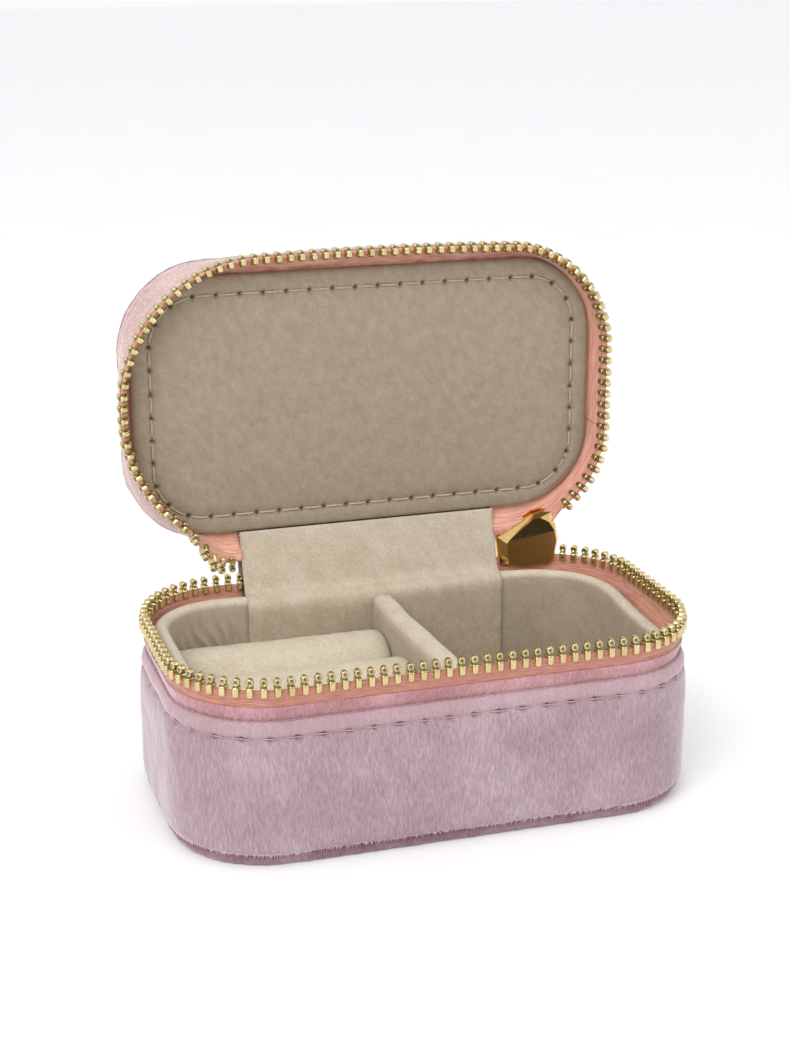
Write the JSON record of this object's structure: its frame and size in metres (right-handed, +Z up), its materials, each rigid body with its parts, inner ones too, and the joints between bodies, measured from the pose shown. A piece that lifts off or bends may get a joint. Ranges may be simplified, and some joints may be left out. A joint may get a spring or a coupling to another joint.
{
  "type": "jewelry box",
  "caption": "Small zipped jewelry box in velvet: divided tray with ring rolls, lid hinged on a lining strip, curved metal zip and swinging pull.",
  "frame": {"origin": "centre of the base's underside, on the surface it stands on", "axes": "+Z up, +X to the right along the long side, +Y towards the hinge at the back"},
  "size_m": [0.095, 0.0646, 0.0926],
  "materials": {
    "velvet": "short-pile velvet, dusty rose",
    "board": "grey-brown pressed board",
    "foam": "soft foam",
    "microsuede": "beige microsuede",
    "panel_suede": "taupe microsuede over board",
    "roll_suede": "ivory microsuede over foam",
    "zip_tape": "woven coral tape",
    "thread_rose": "rose sewing thread",
    "thread_cream": "cream sewing thread",
    "brass_zip": "pale gold plating",
    "slider_gold": "polished gold plating"
  },
  "bodies": {
    "base": {"base_bottom_cover": "velvet", "base_bottom_board": "board", "base_floor_board": "board", "base_frame": "board", "base_velvet_cover": "velvet", "base_hem_stitching": "thread_rose", "base_zip_tape": "zip_tape", "base_zip_teeth": "brass_zip", "tray_wall": "microsuede", "tray_floor": "microsuede", "tray_divider": "microsuede", "ring_roll_platform": "microsuede", "ring_roll_front": "roll_suede", "ring_roll_middle": "roll_suede", "ring_roll_rear": "roll_suede", "hinge_lining": "microsuede", "zip_slider_body": "slider_gold", "zip_slider_bridge": "slider_gold", "hinge_lining_flap": "microsuede", "hinge_velvet": "velvet"},
    "lid": {"lid_velvet_cover": "velvet", "lid_frame": "board", "lid_core_foam": "foam", "lid_top_board": "board", "lid_top_padding": "foam", "lid_lining_panel": "panel_suede", "lid_zip_tape": "zip_tape", "lid_zip_teeth": "brass_zip", "lid_hem_stitching": "thread_rose", "lid_panel_stitching": "thread_cream", "zip_turn_tape_left": "zip_tape", "zip_turn_tape_right": "zip_tape", "zip_turn_teeth_left": "brass_zip", "zip_turn_teeth_right": "brass_zip"},
    "pull": {"pull_tab": "slider_gold"}
  },
  "joints": [
    {"name": "lid_hinge", "type": "hinge", "parent": "base", "child": "lid", "pos_m": [0, 0.02667, 0.03863], "axis": [1, 0, 0], "range_deg": [0, 90], "deforming": ["hinge_lining_flap", "hinge_velvet", "zip_turn_tape_left", "zip_turn_tape_right", "zip_turn_teeth_left", "zip_turn_teeth_right"]},
    {"name": "pull_swing", "type": "hinge", "parent": "base", "child": "pull", "pos_m": [0.03228, 0.03052, 0.0336], "axis": [0.9763, -0.129, 0.1736], "range_deg": [-5, 100]}
  ]
}
